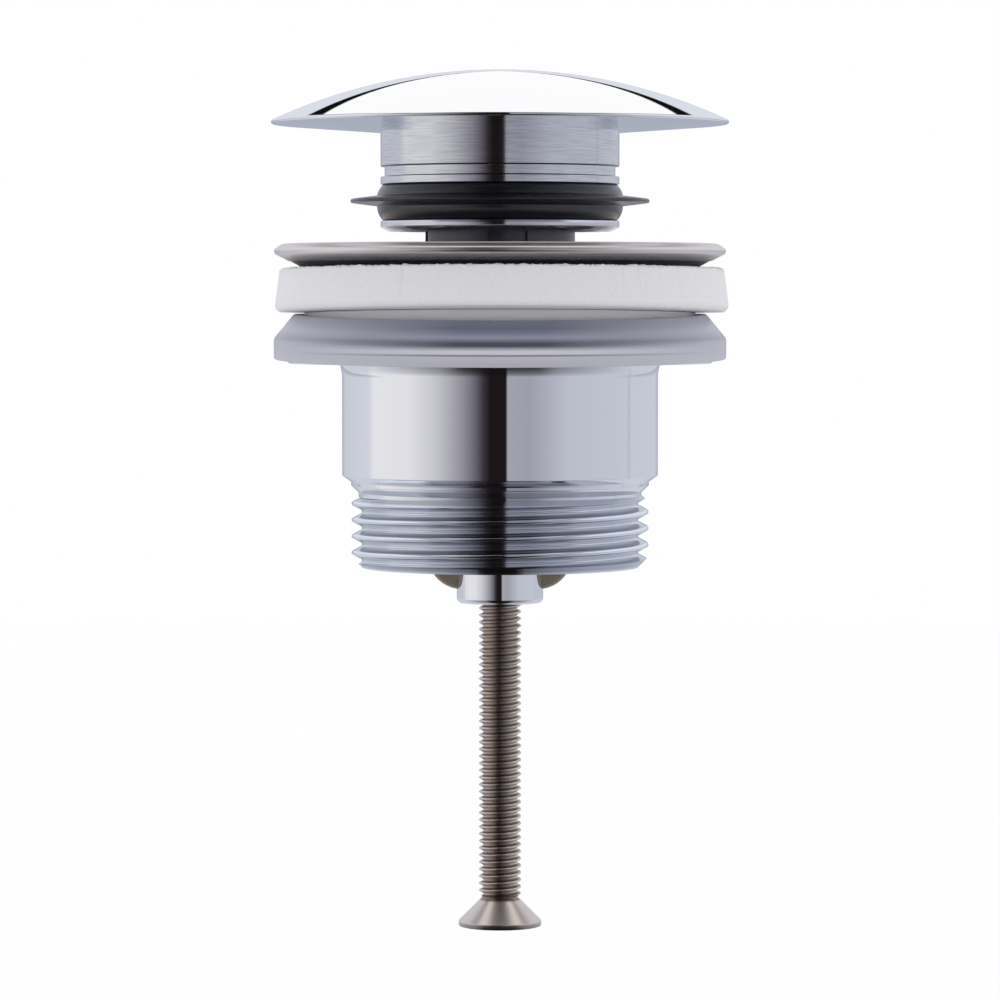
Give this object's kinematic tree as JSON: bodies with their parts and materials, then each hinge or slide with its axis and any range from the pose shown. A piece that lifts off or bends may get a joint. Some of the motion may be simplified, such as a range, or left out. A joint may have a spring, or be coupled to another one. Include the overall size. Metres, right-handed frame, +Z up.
{
  "type": "pop up basin waste",
  "caption": "Push-to-open basin waste: mushroom cap plug on a click cartridge, dished flange, packing stack, threaded outlet and clamp screw.",
  "frame": {"origin": "centre of the outlet's lower end, on the thread's axis", "axes": "+Z up along the axis from the outlet to the cap; X and Y are level, and -Y faces the viewer"},
  "size_m": [0.0644, 0.0644, 0.1208],
  "materials": {
    "polished_chrome": "polished",
    "turned_chrome": "fine turned",
    "satin_stainless": "satin",
    "screw_steel": "turned",
    "spring_steel": "drawn",
    "brass": "turned",
    "black_rubber": "matte",
    "black_plastic": "moulded",
    "acetal": "moulded",
    "white_foam": "closed cell foam",
    "slip_fibre": "matte",
    "smoky_gasket": "translucent, satin"
  },
  "bodies": {
    "fixed": {"outlet_body": "polished_chrome", "flange": "satin_stainless", "strainer_hub": "brass", "cartridge_cage": "black_plastic", "cage_base": "black_plastic", "stem_o_ring": "black_rubber", "flange_washer": "black_rubber", "foam_washer": "white_foam", "slip_washer": "slip_fibre", "cone_gasket": "smoky_gasket", "tube_o_ring": "black_rubber"},
    "plunger_body": {"plunger": "acetal", "index_pins": "spring_steel", "return_spring": "spring_steel"},
    "plug": {"dome_cap": "polished_chrome", "cap_stud": "screw_steel", "seal_carrier": "turned_chrome", "plug_seal": "black_rubber"},
    "drum": {"index_drum": "acetal"},
    "screw": {"clamp_screw": "screw_steel"}
  },
  "joints": [
    {"name": "plug_press", "type": "slide", "parent": "fixed", "child": "plunger_body", "axis": [0, 0, 1], "range_m": [-0.0105, 0], "stiffness_N_per_m": 600, "springref_m": 0.004, "deforming": ["return_spring"]},
    {"name": "plug_spin", "type": "hinge", "parent": "plunger_body", "child": "plug", "pos_m": [0, 0, 0.0592], "axis": [0, 0, 1], "continuous": true},
    {"name": "drum_turn", "type": "hinge", "parent": "fixed", "child": "drum", "pos_m": [0, 0, 0.0163], "axis": [0, 0, -1], "range_deg": [0, 26.95]},
    {"name": "screw_turn", "type": "hinge", "parent": "fixed", "child": "screw", "pos_m": [0, 0, 0], "axis": [0, 0, 1], "continuous": true}
  ],
  "couplings": [
    {"joint": "drum_turn", "follows": "plug_press", "rad_per_m": -44.752}
  ]
}
